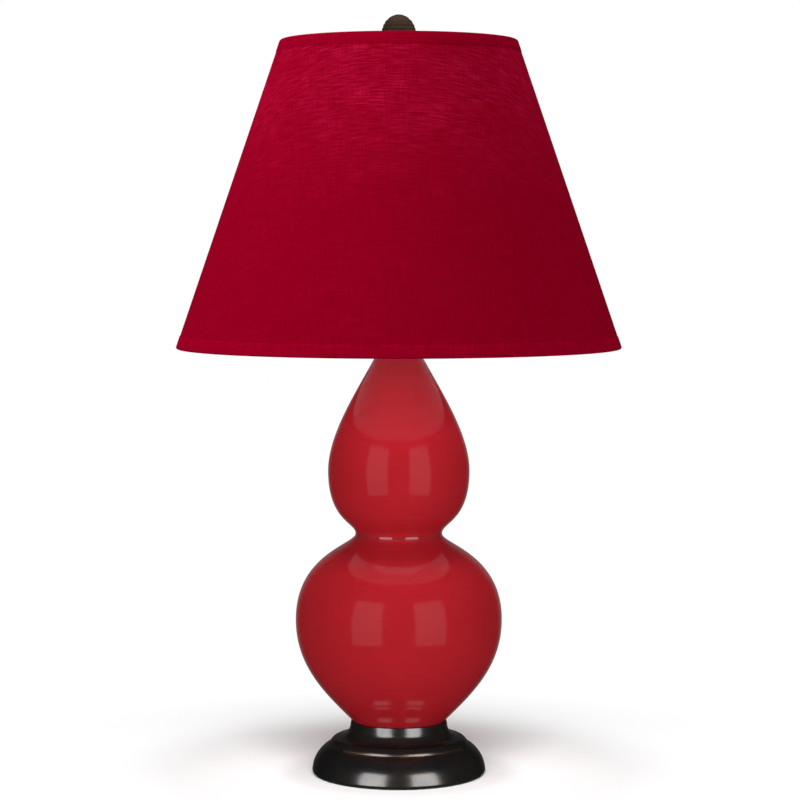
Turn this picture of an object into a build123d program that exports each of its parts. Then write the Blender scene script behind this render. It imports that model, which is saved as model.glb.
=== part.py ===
from build123d import *
from math import atan, cos, degrees, radians, sin, tan
import os

# A table lamp: a hollow glazed double gourd on a turned metal foot, a tapered cloth shade
# on a harp, and a ribbed finial. Lengths are millimetres. The origin is the middle of the
# underside, +Z is up, -Y is the front with the switch knob, and the harp spreads along X.

# Clearances
running_gap = 0.1        # radial, between a piece and the hole or sleeve it moves in
seat_gap = 0.3           # where a piece that comes off rests on the one below
fixed_gap = 0.1          # radial, between pieces that stay put
layer_gap = 0.25         # glue line between the layers of the shade

# Felt and foot
felt_radius = 63.2
felt_thickness = 1.2
foot_radius = 65.1
foot_height = 38.7       # lower edge to the rim that rings the gourd
foot_edge_round = 1.6
foot_wall = 3.0
dome_top_radius = 53.2
dome_rise = 21.0         # lower edge to the crease under the bead
dome_bow = 2.85          # how far the dome stands off its chord
crease_depth = 1.2
bead_top_radius = 46.0
bead_rise = 5.0
bead_bow = 1.4
cove_foot_radius = 43.4
cove_foot_rise = 26.8    # lower edge to the bottom of the cove
cove_rise = 9.4
cove_bow = 2.05
collar_flare = 0.4       # how much the collar widens down to the cove
rim_width = 0.75
rim_round = 0.4
recess_depth = 1.9
recess_gap = 0.35
web_thickness = 3.5

# Cord inlet at the back of the foot
inlet_share = 0.4        # place along the dome's arc, from its lower end
inlet_radius = 4.7
inlet_bore_radius = 3.6
inlet_flange_radius = 6.0
inlet_flange_thickness = 1.8
inlet_spot_depth = 1.0
inlet_barb = 0.5
inlet_barb_length = 1.4
inlet_barb_reach = 0.9   # barb's distance inside the wall

# Pipe, its nut and washer, and the gasket
pipe_radius = 4.9
pipe_bore_radius = 3.3
pipe_tail = 9.0          # pipe below the web
pipe_tip = 8.0           # pipe inside the socket cap
nut_across_flats = 14.3
nut_height = 5.0
washer_radius = 17.0
washer_thickness = 1.6
gasket_thickness = 1.0
gasket_width = 8.0

# Gourd
gourd_seat_radius = 33.9
gourd_seat_angle = 45.5      # degrees above level, where the wall leaves the seat
gourd_belly_radius = 77.3
gourd_belly_height = 77.2
gourd_waist_radius = 32.4
gourd_waist_height = 141.8
gourd_upper_radius = 52.9
gourd_upper_height = 188.9
gourd_neck_radius = 15.1
gourd_neck_angle = 62.2      # degrees above level, where the wall reaches the neck
gourd_height = 278.8
gourd_wall = 5.5
gourd_base_hole_radius = 8.0
gourd_mouth_radius = 8.8
# Fullness of each curve beside a level, as shares of the rise to the next level
seat_fullness = 0.39
belly_fullness_below = 0.46
belly_fullness_above = 0.76
waist_fullness_below = 0.139
waist_fullness_above = 0.185
upper_fullness_below = 0.80
upper_fullness_above = 0.318
neck_fullness = 0.347

# Neck fittings
neck_cap_radius = 16.0
neck_cap_height = 6.5
neck_cap_wall = 1.2
neck_cap_bow = 2.2
neck_spacer_radius = 7.0
neck_spacer_height = 7.5
neck_spacer_waist = 1.1

# Harp saddle
saddle_width = 12.0
saddle_thickness = 1.6
saddle_bend = 9.0
saddle_tip_rise = 16.2       # saddle's underside to the half-round tips
tip_length = 15.0

# Socket
hub_radius = 7.5
hub_height = 4.6
hub_depth = 6.5
set_screw_radius = 1.5
set_screw_length = 5.5
cap_radius = 17.2
cap_height = 17.0
cap_flare_height = 8.0
cap_flare_bow = 1.2
cap_wall = 0.8
shell_wall = 0.6
shell_height = 46.0
shell_lip = 1.2
liner_wall = 0.5
switch_height = 25.0         # underside of the cap to the knob's axis
switch_block_height = 21.0
terminal_radius = 2.6
terminal_depth = 1.8
terminal_drop = 12.0         # terminal screws below the top of the switch block
screw_shell_wall = 0.6
screw_shell_height = 23.5
screw_shell_lip = 3.6
contact_radius = 3.2
contact_height = 2.0

# Switch knob
stem_radius = 1.9
stem_depth = 7.0             # stem inside the switch block
stem_hole_radius = 2.9
knob_radius = 6.3
knob_length = 11.0
knob_offset = 3.2            # shell to the knob's back
knob_flutes = 12
flute_radius = 1.0

# Bulb
bulb_cap_radius = 13.05
bulb_cap_wall = 0.5
bulb_cap_height = 20.5
bulb_insulator_height = 4.6
bulb_tip_radius = 4.6
bulb_tip_height = 1.6
bulb_neck_radius = 13.6
bulb_radius = 30.0
bulb_length = 109.0          # contact to crown
glass_wall = 1.0

# Harp
harp_wire_radius = 2.4
harp_leg_spread = 27.0
harp_leg_length = 37.0
harp_half_width = 56.5
harp_widest_rise = 65.0      # top of the straight legs to the widest place
harp_height = 198.0          # saddle's underside to the middle of the bridge
harp_shoulder_radius = 32.0
bridge_length = 22.0
bridge_width = 11.0
bridge_thickness = 2.6
bridge_drop = 0.8            # bridge stands this much above the wire's centre line
ferrule_radius = 4.0
ferrule_length = 16.0

# Swivel stud
stud_shank_radius = 2.4
stud_head_radius = 4.2
stud_head_height = 1.9
stud_flange_radius = 6.4
stud_flange_height = 1.9
stud_thread_radius = 3.17
stud_thread_length = 14.5
swivel_play = 0.15

# Shade
shade_top_radius = 87.9
shade_bottom_radius = 166.0
shade_height = 227.8
shade_recess = 14.0          # hub's underside to the shade's top edge
fabric_thickness = 0.5
liner_thickness = 1.0
hem_thickness = 0.5
hem_edge = 0.8               # hem folded over the edges
top_hem_height = 9.0
bottom_hem_height = 9.5
ring_wire_radius = 1.6
arm_wire_radius = 1.6
arm_count = 3
arm_drop_run = 12.0          # how far in the arms reach the level of the hub
arm_bend = 5.0
hub_washer_radius = 11.0
hub_washer_thickness = 1.5
hub_washer_hole_gap = 0.5

# Finial
finial_foot_radius = 6.6
finial_foot_height = 2.0
finial_neck_radius = 4.9
finial_neck_height = 8.5
finial_radius = 12.6
finial_crown = 15.0          # widest line to the top of the ribbed dome
finial_underside = 7.5
finial_button_radius = 4.3
finial_ribs = 5
finial_rib_bow = 0.42
finial_bow = 1.1
finial_thread_spare = 1.0

# Levels, worked out from the ground up
foot_bottom = felt_thickness
foot_top = foot_bottom + foot_height
recess_floor = foot_top - recess_depth
web_bottom = recess_floor - web_thickness
gourd_bottom = recess_floor + gasket_thickness
gourd_top = gourd_bottom + gourd_height
neck_cap_top = gourd_top + neck_cap_height
saddle_bottom = neck_cap_top + neck_spacer_height
socket_bottom = saddle_bottom + saddle_thickness
cap_top = socket_bottom + cap_height
cap_flare_top = socket_bottom + hub_height + cap_flare_height
shell_bottom = cap_flare_top + cap_wall + fixed_gap
shell_top = shell_bottom + shell_height
switch_axis = socket_bottom + switch_height
block_bottom = shell_bottom + cap_wall
block_top = block_bottom + switch_block_height
bulb_bottom = block_top + contact_height + seat_gap
tip_bottom = saddle_bottom + saddle_tip_rise
harp_foot = tip_bottom + seat_gap
leg_top = harp_foot + harp_leg_length
harp_widest = leg_top + harp_widest_rise
bridge_middle = saddle_bottom + harp_height
bridge_top = bridge_middle + bridge_thickness / 2
stud_flange_top = bridge_top + swivel_play + stud_flange_height
hub_bottom = stud_flange_top + seat_gap
hub_top = hub_bottom + hub_washer_thickness
shade_top = hub_bottom + shade_recess
shade_bottom = shade_top - shade_height
finial_bottom = hub_top + seat_gap
finial_neck_top = finial_bottom + finial_neck_height
finial_widest = finial_neck_top + finial_underside
thread_top = stud_flange_top + stud_thread_length

# Radii that follow from the fits
seat_slope = tan(radians(gourd_seat_angle))
rim_inner_radius = gourd_seat_radius + (foot_top - gourd_bottom) / seat_slope + recess_gap
collar_radius = rim_inner_radius + rim_width
pipe_hole_radius = pipe_radius + fixed_gap
shell_radius = cap_radius - cap_wall - fixed_gap
liner_radius = shell_radius - shell_wall - fixed_gap
block_radius = liner_radius - liner_wall - fixed_gap
screw_shell_bore = bulb_cap_radius + seat_gap
sleeve_bore = harp_wire_radius + running_gap
taper = (shade_bottom_radius - shade_top_radius) / shade_height
taper_stretch = (1 + taper**2) ** 0.5


def bowed(start, end, bow):
    # arc from start to end that stands off its chord by bow, to the right of the way it goes
    along = Vector(*end) - Vector(*start)
    aside = Vector(along.Y, -along.X).normalized()
    middle = (Vector(*start) + Vector(*end)) / 2 + aside * bow
    return ThreePointArc(start, middle, end)


def domed(rim, crown):
    # arc between a rim and a crown on the axis, level at the crown
    return TangentArc(crown, rim, tangent=(1, 0))


def chords(curve, count):
    # the curve in straight steps, for small pieces and walls that are out of sight
    return Polyline(*[curve @ (step / count) for step in range(count + 1)])


def turned(*edges):
    # solid of revolution from a closed outline, x being the radius and y the height
    return revolve(Plane.XZ * make_face(edges), Axis.Z)


def turned_polygon(*points):
    return turned(Polyline(*points, close=True))


def tube(outer, inner, bottom, top):
    return turned_polygon((inner, bottom), (outer, bottom), (outer, top), (inner, top))


def rod(radius, bottom, top):
    return Pos(0, 0, bottom) * Cylinder(radius, top - bottom, align=(Align.CENTER, Align.CENTER, Align.MIN))


def inner_half(face, inset):
    # the right half of a mirrored outline, moved in by the wall
    shrunk = offset(face, amount=-inset, kind=Kind.INTERSECTION)
    box = face.bounding_box()
    keep = Rectangle(box.size.X, 2 * box.size.Y, align=(Align.MIN, Align.CENTER))
    return shrunk & Pos(0, box.center().Y) * keep


# Foot

def dome_arc():
    start = (foot_radius, foot_bottom + foot_edge_round)
    end = (dome_top_radius, foot_bottom + dome_rise)
    return bowed(start, end, dome_bow)


def cove_arc():
    start = (cove_foot_radius, foot_bottom + cove_foot_rise)
    end = (collar_radius + collar_flare, foot_bottom + cove_foot_rise + cove_rise)
    return bowed(start, end, -cove_bow)


def foot_outline():
    # outer edges from the lower edge up to the rim
    edge_start = (foot_radius - foot_edge_round, foot_bottom)
    edge_end = (foot_radius, foot_bottom + foot_edge_round)
    crease_level = foot_bottom + dome_rise
    crease = (dome_top_radius - crease_depth, crease_level)
    bead_top = (bead_top_radius, crease_level + bead_rise)
    cove = cove_arc()
    rim_side = (collar_radius, foot_top - rim_round)
    return [
        bowed(edge_start, edge_end, foot_edge_round * (1 - cos(radians(45)))),
        dome_arc(),
        Line((dome_top_radius, crease_level), crease),
        bowed(crease, bead_top, bead_bow),
        Line(bead_top, cove @ 0),
        cove,
        Line(cove @ 1, rim_side),
        Line(rim_side, (collar_radius - rim_round, foot_top)),
    ]


def inlet_plane():
    # on the dome at the back, its Z leaving the wall squarely
    place = dome_arc() @ inlet_share
    along = dome_arc() % inlet_share
    return Plane(origin=(0, place.X, place.Y), x_dir=(1, 0, 0), z_dir=(0, along.Y, -along.X))


def base_foot():
    outer = foot_outline()
    top = (collar_radius - rim_round, foot_top)
    bottom = (foot_radius - foot_edge_round, foot_bottom)
    solid = turned(*outer, Polyline(top, (0, foot_top), (0, foot_bottom), bottom))
    # hollow of even wall, drawn with the lower edge carried down so that it stays open
    dome = dome_arc()
    cove = cove_arc()
    skirt = foot_bottom - 2 * foot_wall
    half = [
        chords(dome, 4),
        Line(dome @ 1, cove @ 0),
        chords(cove, 3),
        Polyline(cove @ 1, (collar_radius + collar_flare, foot_top), (0, foot_top)),
        Polyline(dome @ 0, (foot_radius, skirt), (0, skirt)),
    ]
    whole = make_face([*half, *[edge.mirror(Plane.YZ) for edge in half]])
    hollow = inner_half(whole, foot_wall)
    below_web = Pos(0, web_bottom) * Rectangle(2 * foot_radius, 4 * foot_height, align=(Align.MIN, Align.MAX))
    solid -= revolve(Plane.XZ * (hollow & below_web), Axis.Z)
    rim_drop = foot_top - gourd_bottom
    solid -= turned_polygon(
        (0, recess_floor),
        (gourd_seat_radius + recess_gap, recess_floor),
        (gourd_seat_radius + recess_gap, foot_top - rim_drop),
        (rim_inner_radius, foot_top),
        (0, foot_top),
    )
    solid -= rod(pipe_hole_radius, web_bottom, recess_floor)
    inlet = inlet_plane() * (
        Cylinder(inlet_radius, 4 * foot_wall)
        + rod(inlet_flange_radius + recess_gap, -inlet_spot_depth, foot_wall)
    )
    return solid - inlet


def base_felt():
    return rod(felt_radius, 0, felt_thickness)


def cord_bushing():
    flange_back = -inlet_spot_depth
    flange_front = flange_back + inlet_flange_thickness
    sleeve = inlet_radius - fixed_gap
    barb_start = -foot_wall - inlet_barb_reach
    barb_end = barb_start - inlet_barb_length
    corner = inlet_flange_thickness / 3
    return inlet_plane() * turned_polygon(
        (inlet_bore_radius, barb_end),
        (sleeve, barb_end),
        (sleeve + inlet_barb, barb_start),
        (sleeve, barb_start),
        (sleeve, flange_back),
        (inlet_flange_radius, flange_back),
        (inlet_flange_radius, flange_front - corner),
        (inlet_flange_radius - corner, flange_front),
        (inlet_bore_radius, flange_front),
    )


def base_washer():
    return tube(washer_radius, pipe_hole_radius, web_bottom - washer_thickness, web_bottom)


def base_nut():
    top = web_bottom - washer_thickness
    prism = extrude(RegularPolygon(nut_across_flats / 2, 6, major_radius=False), nut_height)
    return Pos(0, 0, top - nut_height) * prism - rod(pipe_radius, top - nut_height, top)


# Gourd

def gourd_gasket():
    return tube(gourd_seat_radius, gourd_seat_radius - gasket_width, recess_floor, gourd_bottom)


def gourd_curves(inset):
    # four curves from the seat to the neck, upright where they meet, set in by the wall
    belly_rise = gourd_belly_height
    waist_rise = gourd_waist_height - gourd_belly_height
    upper_rise = gourd_upper_height - gourd_waist_height
    neck_rise = gourd_height - gourd_upper_height
    seat_pull = seat_fullness * belly_rise
    neck_pull = neck_fullness * neck_rise
    seat_turn = radians(gourd_seat_angle)
    neck_turn = radians(gourd_neck_angle)
    belly = Vector(gourd_belly_radius - inset, gourd_belly_height)
    waist = Vector(gourd_waist_radius - inset, gourd_waist_height)
    upper = Vector(gourd_upper_radius - inset, gourd_upper_height)
    levels = [
        (belly, belly_fullness_below * belly_rise, belly_fullness_above * waist_rise),
        (waist, waist_fullness_below * waist_rise, waist_fullness_above * upper_rise),
        (upper, upper_fullness_below * upper_rise, upper_fullness_above * neck_rise),
    ]
    start = Vector(gourd_seat_radius - inset * sin(seat_turn), inset * cos(seat_turn))
    handle = start + Vector(cos(seat_turn), sin(seat_turn)) * seat_pull
    curves = []
    for level, pull_below, pull_above in levels:
        curves.append(Bezier(start, handle, level - Vector(0, pull_below), level))
        start = level
        handle = level + Vector(0, pull_above)
    neck = Vector(gourd_neck_radius - inset * sin(neck_turn), gourd_height - inset * cos(neck_turn))
    curves.append(Bezier(start, handle, neck + Vector(cos(neck_turn), -sin(neck_turn)) * neck_pull, neck))
    return curves


def gourd_form(curves):
    foot = curves[0] @ 0
    neck = curves[-1] @ 1
    return turned(*curves, Polyline(neck, (0, neck.Y), (0, foot.Y), foot))


def gourd_body():
    hollow = [chords(curve, 3) for curve in gourd_curves(gourd_wall)]
    shell = gourd_form(gourd_curves(0)) - gourd_form(hollow)
    shell -= rod(gourd_base_hole_radius, 0, gourd_wall)
    shell -= rod(gourd_mouth_radius, gourd_height - gourd_wall, gourd_height)
    return Pos(0, 0, gourd_bottom) * shell


def lamp_pipe():
    return tube(pipe_radius, pipe_bore_radius, web_bottom - pipe_tail, socket_bottom + pipe_tip)


# Neck

def neck_cap():
    outer_edge = (neck_cap_radius, gourd_top)
    outer_top = (neck_spacer_radius + neck_cap_wall, neck_cap_top)
    inner_edge = (neck_cap_radius - neck_cap_wall, gourd_top)
    inner_top = (neck_spacer_radius, neck_cap_top - neck_cap_wall)
    return turned(
        chords(bowed(outer_edge, outer_top, neck_cap_bow), 4),
        Polyline(outer_top, (pipe_hole_radius, neck_cap_top), (pipe_hole_radius, inner_top[1]), inner_top),
        chords(bowed(inner_top, inner_edge, -neck_cap_bow), 4),
        Line(inner_edge, outer_edge),
    )


def neck_spacer():
    low = (neck_spacer_radius, neck_cap_top)
    high = (neck_spacer_radius, saddle_bottom)
    return turned(
        chords(bowed(low, high, -neck_spacer_waist), 4),
        Polyline(high, (pipe_hole_radius, saddle_bottom), (pipe_hole_radius, neck_cap_top), low),
    )


def harp_saddle():
    # a bent strip, narrowed upwards, ending in half-round tips
    side = harp_leg_spread - harp_wire_radius / 2
    strip = Plane.XZ * make_face(
        offset(
            FilletPolyline(
                (-side, tip_bottom),
                (-side, saddle_bottom + saddle_thickness / 2),
                (side, saddle_bottom + saddle_thickness / 2),
                (side, tip_bottom),
                radius=saddle_bend,
            ),
            amount=saddle_thickness / 2,
            kind=Kind.INTERSECTION,
        ).edges()
    )
    reach = 2 * harp_leg_spread
    strip = extrude(strip, saddle_width / 2, both=True)
    bend_top = saddle_bottom + saddle_bend
    half_width = saddle_width / 2
    front = Plane.YZ * make_face(
        Polyline(
            (-half_width, saddle_bottom - saddle_thickness),
            (half_width, saddle_bottom - saddle_thickness),
            (half_width, bend_top),
            (harp_wire_radius, tip_bottom),
            (-harp_wire_radius, tip_bottom),
            (-half_width, bend_top),
            close=True,
        )
    )
    saddle = strip & extrude(front, reach, both=True)
    for way in (-1, 1):
        post = rod(harp_wire_radius, tip_bottom - saddle_thickness, tip_bottom + tip_length)
        post = Pos(way * harp_leg_spread, 0, 0) * post
        outer_edge = way * (harp_leg_spread - running_gap / 2)
        keep = Pos(outer_edge - way * harp_wire_radius, 0, tip_bottom) * Box(
            2 * harp_wire_radius, reach, reach
        )
        saddle += post & keep
    return saddle - rod(pipe_hole_radius, saddle_bottom - 1, socket_bottom + 1)


# Socket

def socket_cap():
    hub_top_edge = (hub_radius, socket_bottom + hub_height)
    flare_top = (cap_radius, cap_flare_top)
    rim = cap_radius - cap_wall
    inner_flare_top = (rim, cap_flare_top + cap_wall)
    inner_hub = (hub_radius + cap_wall, socket_bottom + hub_height + cap_wall)
    hub_bore_top = socket_bottom + hub_depth
    cap = turned(
        Line((hub_radius, socket_bottom), hub_top_edge),
        chords(bowed(hub_top_edge, flare_top, cap_flare_bow), 3),
        Polyline(flare_top, (cap_radius, cap_top), (rim, cap_top), inner_flare_top),
        chords(bowed(inner_flare_top, inner_hub, -cap_flare_bow), 3),
        Polyline(
            inner_hub,
            (hub_radius, hub_bore_top),
            (pipe_hole_radius, hub_bore_top),
            (pipe_hole_radius, socket_bottom),
            (hub_radius, socket_bottom),
        ),
    )
    return cap - set_screw_place() * rod(set_screw_radius + fixed_gap, 0, 2 * set_screw_length)


def set_screw_place():
    # square to the pipe, between the harp's arms and the knob
    height = socket_bottom + hub_height / 2
    return Rot(0, 0, 45) * Pos(pipe_radius, 0, height) * Rot(0, 90, 0)


def socket_set_screw():
    screw = rod(set_screw_radius, 0, set_screw_length)
    slot = Pos(0, 0, set_screw_length) * Box(3 * set_screw_radius, 0.5, 1.2)
    return set_screw_place() * (screw - slot)


def knob_place():
    # on the knob's axis at the shell, Z pointing out to the front
    return Plane(origin=(0, -shell_radius, switch_axis), x_dir=(1, 0, 0), z_dir=(0, -1, 0))


def stem_hole():
    return knob_place() * rod(stem_hole_radius, -shell_radius / 2, shell_radius / 2)


def socket_shell():
    lip_inner = shell_radius - shell_wall - shell_lip
    shell = turned_polygon(
        (shell_radius - shell_wall, shell_bottom),
        (shell_radius, shell_bottom),
        (shell_radius, shell_top - shell_wall),
        (shell_radius - shell_wall, shell_top),
        (lip_inner, shell_top),
        (lip_inner, shell_top - shell_wall),
        (shell_radius - shell_wall, shell_top - shell_wall),
    )
    return shell - stem_hole()


def socket_liner():
    low = shell_bottom + shell_wall
    high = shell_top - 2 * shell_wall
    return tube(liner_radius, liner_radius - liner_wall, low, high) - stem_hole()


def terminal_places():
    height = block_top - terminal_drop
    return [
        Rot(0, 0, turn) * Pos(block_radius - terminal_depth, 0, height) * Rot(0, 90, 0)
        for turn in (0, 180)
    ]


def socket_body():
    block = rod(block_radius, block_bottom, block_top)
    for place in terminal_places():
        block -= place * Box(
            4 * terminal_radius, 3 * terminal_radius, 2 * terminal_depth,
            align=(Align.CENTER, Align.CENTER, Align.MIN),
        )
    return block - knob_place() * rod(stem_radius + running_gap, -shell_radius / 2 - stem_depth, 0)


def terminal_screws():
    screws = []
    for place in terminal_places():
        head = rod(terminal_radius, 0, terminal_depth - fixed_gap)
        slot = Pos(0, 0, terminal_depth) * Box(3 * terminal_radius, 0.8, 1.4)
        screws.append(place * (head - slot))
    return Compound(children=screws)


def screw_shell():
    outer = screw_shell_bore + screw_shell_wall
    lip_inner = screw_shell_bore - screw_shell_lip
    top = block_top + screw_shell_height
    return turned_polygon(
        (lip_inner, block_top),
        (outer, block_top),
        (outer, top),
        (screw_shell_bore, top),
        (screw_shell_bore, block_top + screw_shell_wall),
        (lip_inner, block_top + screw_shell_wall),
    )


def centre_contact():
    top = block_top + contact_height
    shoulder = (contact_radius, block_top + contact_height / 2)
    return turned(
        Polyline((0, top), (0, block_top), (contact_radius, block_top), shoulder),
        chords(domed(shoulder, (0, top)), 2),
    )


# Switch knob

def switch_stem():
    start = -shell_radius / 2 - stem_depth + seat_gap
    return knob_place() * rod(stem_radius, start, knob_offset + knob_length / 2)


def switch_knob():
    body = rod(knob_radius, knob_offset, knob_offset + knob_length)
    body = chamfer(body.faces().sort_by(Axis.Z)[-1].edges(), flute_radius)
    for step in range(knob_flutes):
        turn = Rot(0, 0, 360 / knob_flutes * step)
        body -= turn * Pos(knob_radius, 0, 0) * rod(flute_radius, knob_offset, knob_offset + knob_length)
    body -= rod(stem_radius, knob_offset, knob_offset + knob_length / 2)
    return knob_place() * body


# Bulb

def bulb_cap_bottom():
    return bulb_bottom + bulb_tip_height / 2 + bulb_insulator_height


def bulb_tip():
    brim = bulb_bottom + bulb_tip_height
    return turned(
        Polyline((0, bulb_bottom), (0, brim), (bulb_tip_radius, brim)),
        chords(domed((bulb_tip_radius, brim), (0, bulb_bottom)), 2),
    )


def bulb_insulator():
    # dark glass cone between the contact and the cap
    low = bulb_bottom + bulb_tip_height
    return turned_polygon(
        (0, low),
        (bulb_tip_radius, low),
        (bulb_cap_radius - 2 * bulb_cap_wall, bulb_cap_bottom()),
        (0, bulb_cap_bottom()),
    )


def bulb_base():
    low = bulb_cap_bottom()
    high = low + bulb_cap_height
    inner = bulb_cap_radius - bulb_cap_wall
    return turned_polygon(
        (0, low),
        (inner, low),
        (bulb_cap_radius, low + bulb_cap_wall),
        (bulb_cap_radius, high),
        (inner, high),
        (inner, low + bulb_cap_wall),
        (0, low + bulb_cap_wall),
    )


def bulb_curves(inset):
    # from the neck, inside the metal cap, to the crown
    neck_radius = bulb_cap_radius - bulb_cap_wall - fixed_gap - inset
    neck = Vector(neck_radius, bulb_cap_bottom() + bulb_cap_height / 2)
    shoulder = Vector(neck_radius, bulb_cap_bottom() + bulb_cap_height)
    widest = Vector(bulb_radius - inset, bulb_bottom + bulb_length - bulb_radius)
    crown = Vector(0, bulb_bottom + bulb_length - inset)
    pull = Vector(0, (widest.Y - shoulder.Y) / 2)
    return [
        Line(neck, shoulder),
        chords(Bezier(shoulder, shoulder + pull, widest - pull, widest), 7),
        chords(domed(widest, crown), 6),
    ]


def bulb_glass():
    outer = bulb_curves(0)
    inner = bulb_curves(glass_wall)
    crown = bulb_bottom + bulb_length
    return turned(*outer, Line((0, crown), (0, crown - glass_wall)), *inner, Line(inner[0] @ 0, outer[0] @ 0))


# Harp

def harp_half():
    # centre line of the right side: straight leg, two turns outwards, then over to the bridge
    leg_end = (harp_leg_spread, leg_top)
    spread = harp_half_width - harp_leg_spread
    rise = harp_widest - leg_top
    turn_radius = (spread**2 + rise**2) / (4 * spread)
    turn = degrees(2 * atan(spread / rise))
    leg = Line((harp_leg_spread, harp_foot), leg_end)
    outwards = JernArc(leg_end, (0, 1), turn_radius, -turn)
    upright = JernArc(outwards @ 1, outwards % 1, turn_radius, turn)
    wire_level = bridge_middle - bridge_drop
    across = harp_half_width - bridge_length / 2 + bridge_width / 4 - harp_shoulder_radius
    up = wire_level - harp_widest - harp_shoulder_radius
    lean = 2 * atan(across / up)
    side = JernArc(upright @ 1, upright % 1, harp_shoulder_radius + up / sin(lean), degrees(lean))
    shoulder = JernArc(side @ 1, side % 1, harp_shoulder_radius, 90 - degrees(lean))
    return Wire([Plane.XZ * edge for edge in (leg, outwards, upright, side, shoulder)])


def harp_wire():
    path = harp_half()
    start = Plane(origin=path @ 0, z_dir=path % 0)
    side = sweep(start * Circle(harp_wire_radius), path=path)
    inner_edge = harp_leg_spread + running_gap / 2
    half_leg = Pos(inner_edge, 0, harp_foot) * Box(
        2 * harp_wire_radius, 4 * harp_wire_radius, 2 * (tip_length + seat_gap),
        align=(Align.MAX, Align.CENTER, Align.CENTER),
    )
    side -= half_leg
    plate = extrude(SlotOverall(bridge_length, bridge_width), bridge_thickness / 2, both=True)
    plate -= Cylinder(stud_shank_radius + running_gap, 2 * bridge_thickness)
    return side + side.mirror(Plane.YZ) + Pos(0, 0, bridge_middle) * plate


def ferrule(way):
    # brass sleeve that locks a leg of the harp to the saddle's tip
    low = tip_bottom + seat_gap
    high = low + ferrule_length
    corner = (ferrule_radius - sleeve_bore) / 2
    sleeve = turned_polygon(
        (sleeve_bore, low),
        (ferrule_radius - corner, low),
        (ferrule_radius, low + corner),
        (ferrule_radius, high - corner),
        (ferrule_radius - corner, high),
        (sleeve_bore, high),
    )
    return Pos(way * harp_leg_spread, 0, 0) * sleeve


def ferrule_left():
    return ferrule(-1)


def ferrule_right():
    return ferrule(1)


def harp_stud():
    bridge_bottom = bridge_middle - bridge_thickness / 2
    head_top = bridge_bottom - swivel_play
    flange_bottom = bridge_top + swivel_play
    point = stud_thread_radius / 3
    return turned_polygon(
        (0, head_top - stud_head_height),
        (stud_head_radius - point, head_top - stud_head_height),
        (stud_head_radius, head_top - stud_head_height + point),
        (stud_head_radius, head_top),
        (stud_shank_radius, head_top),
        (stud_shank_radius, flange_bottom),
        (stud_flange_radius, flange_bottom),
        (stud_flange_radius, stud_flange_top),
        (stud_thread_radius, stud_flange_top),
        (stud_thread_radius, thread_top - point),
        (stud_thread_radius - point, thread_top),
        (0, thread_top),
    )


# Shade

def cone_radius(height, depth):
    # radius at a height, the surface being set in squarely by the depth
    return shade_bottom_radius - (height - shade_bottom) * taper - depth * taper_stretch


def cone_layer(depth, thickness, bottom, top):
    deep = depth + thickness
    return turned_polygon(
        (cone_radius(bottom, deep), bottom),
        (cone_radius(bottom, depth), bottom),
        (cone_radius(top, depth), top),
        (cone_radius(top, deep), top),
    )


fabric_depth = hem_thickness + layer_gap
liner_depth = fabric_depth + fabric_thickness + layer_gap
ring_depth = liner_depth + liner_thickness + layer_gap + ring_wire_radius
edge_gap = hem_edge + layer_gap


def shade_fabric():
    return cone_layer(fabric_depth, fabric_thickness, shade_bottom + edge_gap, shade_top - edge_gap)


def shade_liner():
    return cone_layer(liner_depth, liner_thickness, shade_bottom + edge_gap, shade_top - edge_gap)


def hem(edge, way, height):
    # strip of cloth folded over the edge; way is 1 where the strip hangs down from the edge
    fold = edge - way * hem_edge
    far = edge - way * height
    inner = ring_depth + ring_wire_radius
    return turned_polygon(
        (cone_radius(edge, 0), edge),
        (cone_radius(far, 0), far),
        (cone_radius(far, hem_thickness), far),
        (cone_radius(fold, hem_thickness), fold),
        (cone_radius(fold, inner), fold),
        (cone_radius(edge, inner), edge),
    )


def shade_top_hem():
    return hem(shade_top, 1, top_hem_height)


def shade_bottom_hem():
    return hem(shade_bottom, -1, bottom_hem_height)


def ring_wire(level):
    section = Pos(cone_radius(level, ring_depth), level) * RegularPolygon(ring_wire_radius, 10)
    return revolve(Plane.XZ * section, Axis.Z)


def shade_bottom_ring():
    return ring_wire(shade_bottom + edge_gap + ring_wire_radius)


def shade_spider():
    # top ring, drop arms and hub washer, welded together
    ring_level = shade_top - edge_gap - ring_wire_radius
    ring_radius = cone_radius(ring_level, ring_depth)
    arm_level = hub_bottom + arm_wire_radius
    hole = stud_thread_radius + hub_washer_hole_gap
    spider = ring_wire(ring_level) + tube(hub_washer_radius, hole, hub_bottom, hub_top)
    path = Plane.XZ * FilletPolyline(
        (ring_radius, ring_level),
        (ring_radius - arm_drop_run, arm_level),
        (hub_washer_radius - arm_wire_radius, arm_level),
        radius=arm_bend,
    )
    start = Plane(origin=path @ 0, z_dir=path % 0)
    arm = sweep(start * Circle(arm_wire_radius), path=path)
    for step in range(arm_count):
        spider += Rot(0, 0, 90 + 360 / arm_count * step) * arm
    return spider


# Finial

def finial_base():
    foot_edge = (finial_foot_radius, finial_bottom + finial_foot_height)
    neck_edge = (finial_neck_radius, finial_neck_top)
    bore = stud_thread_radius + running_gap
    return turned(
        Polyline(
            neck_edge,
            (bore, finial_neck_top),
            (bore, finial_bottom),
            (finial_foot_radius, finial_bottom),
            foot_edge,
        ),
        chords(bowed(foot_edge, neck_edge, -finial_bow), 4),
    )


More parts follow.
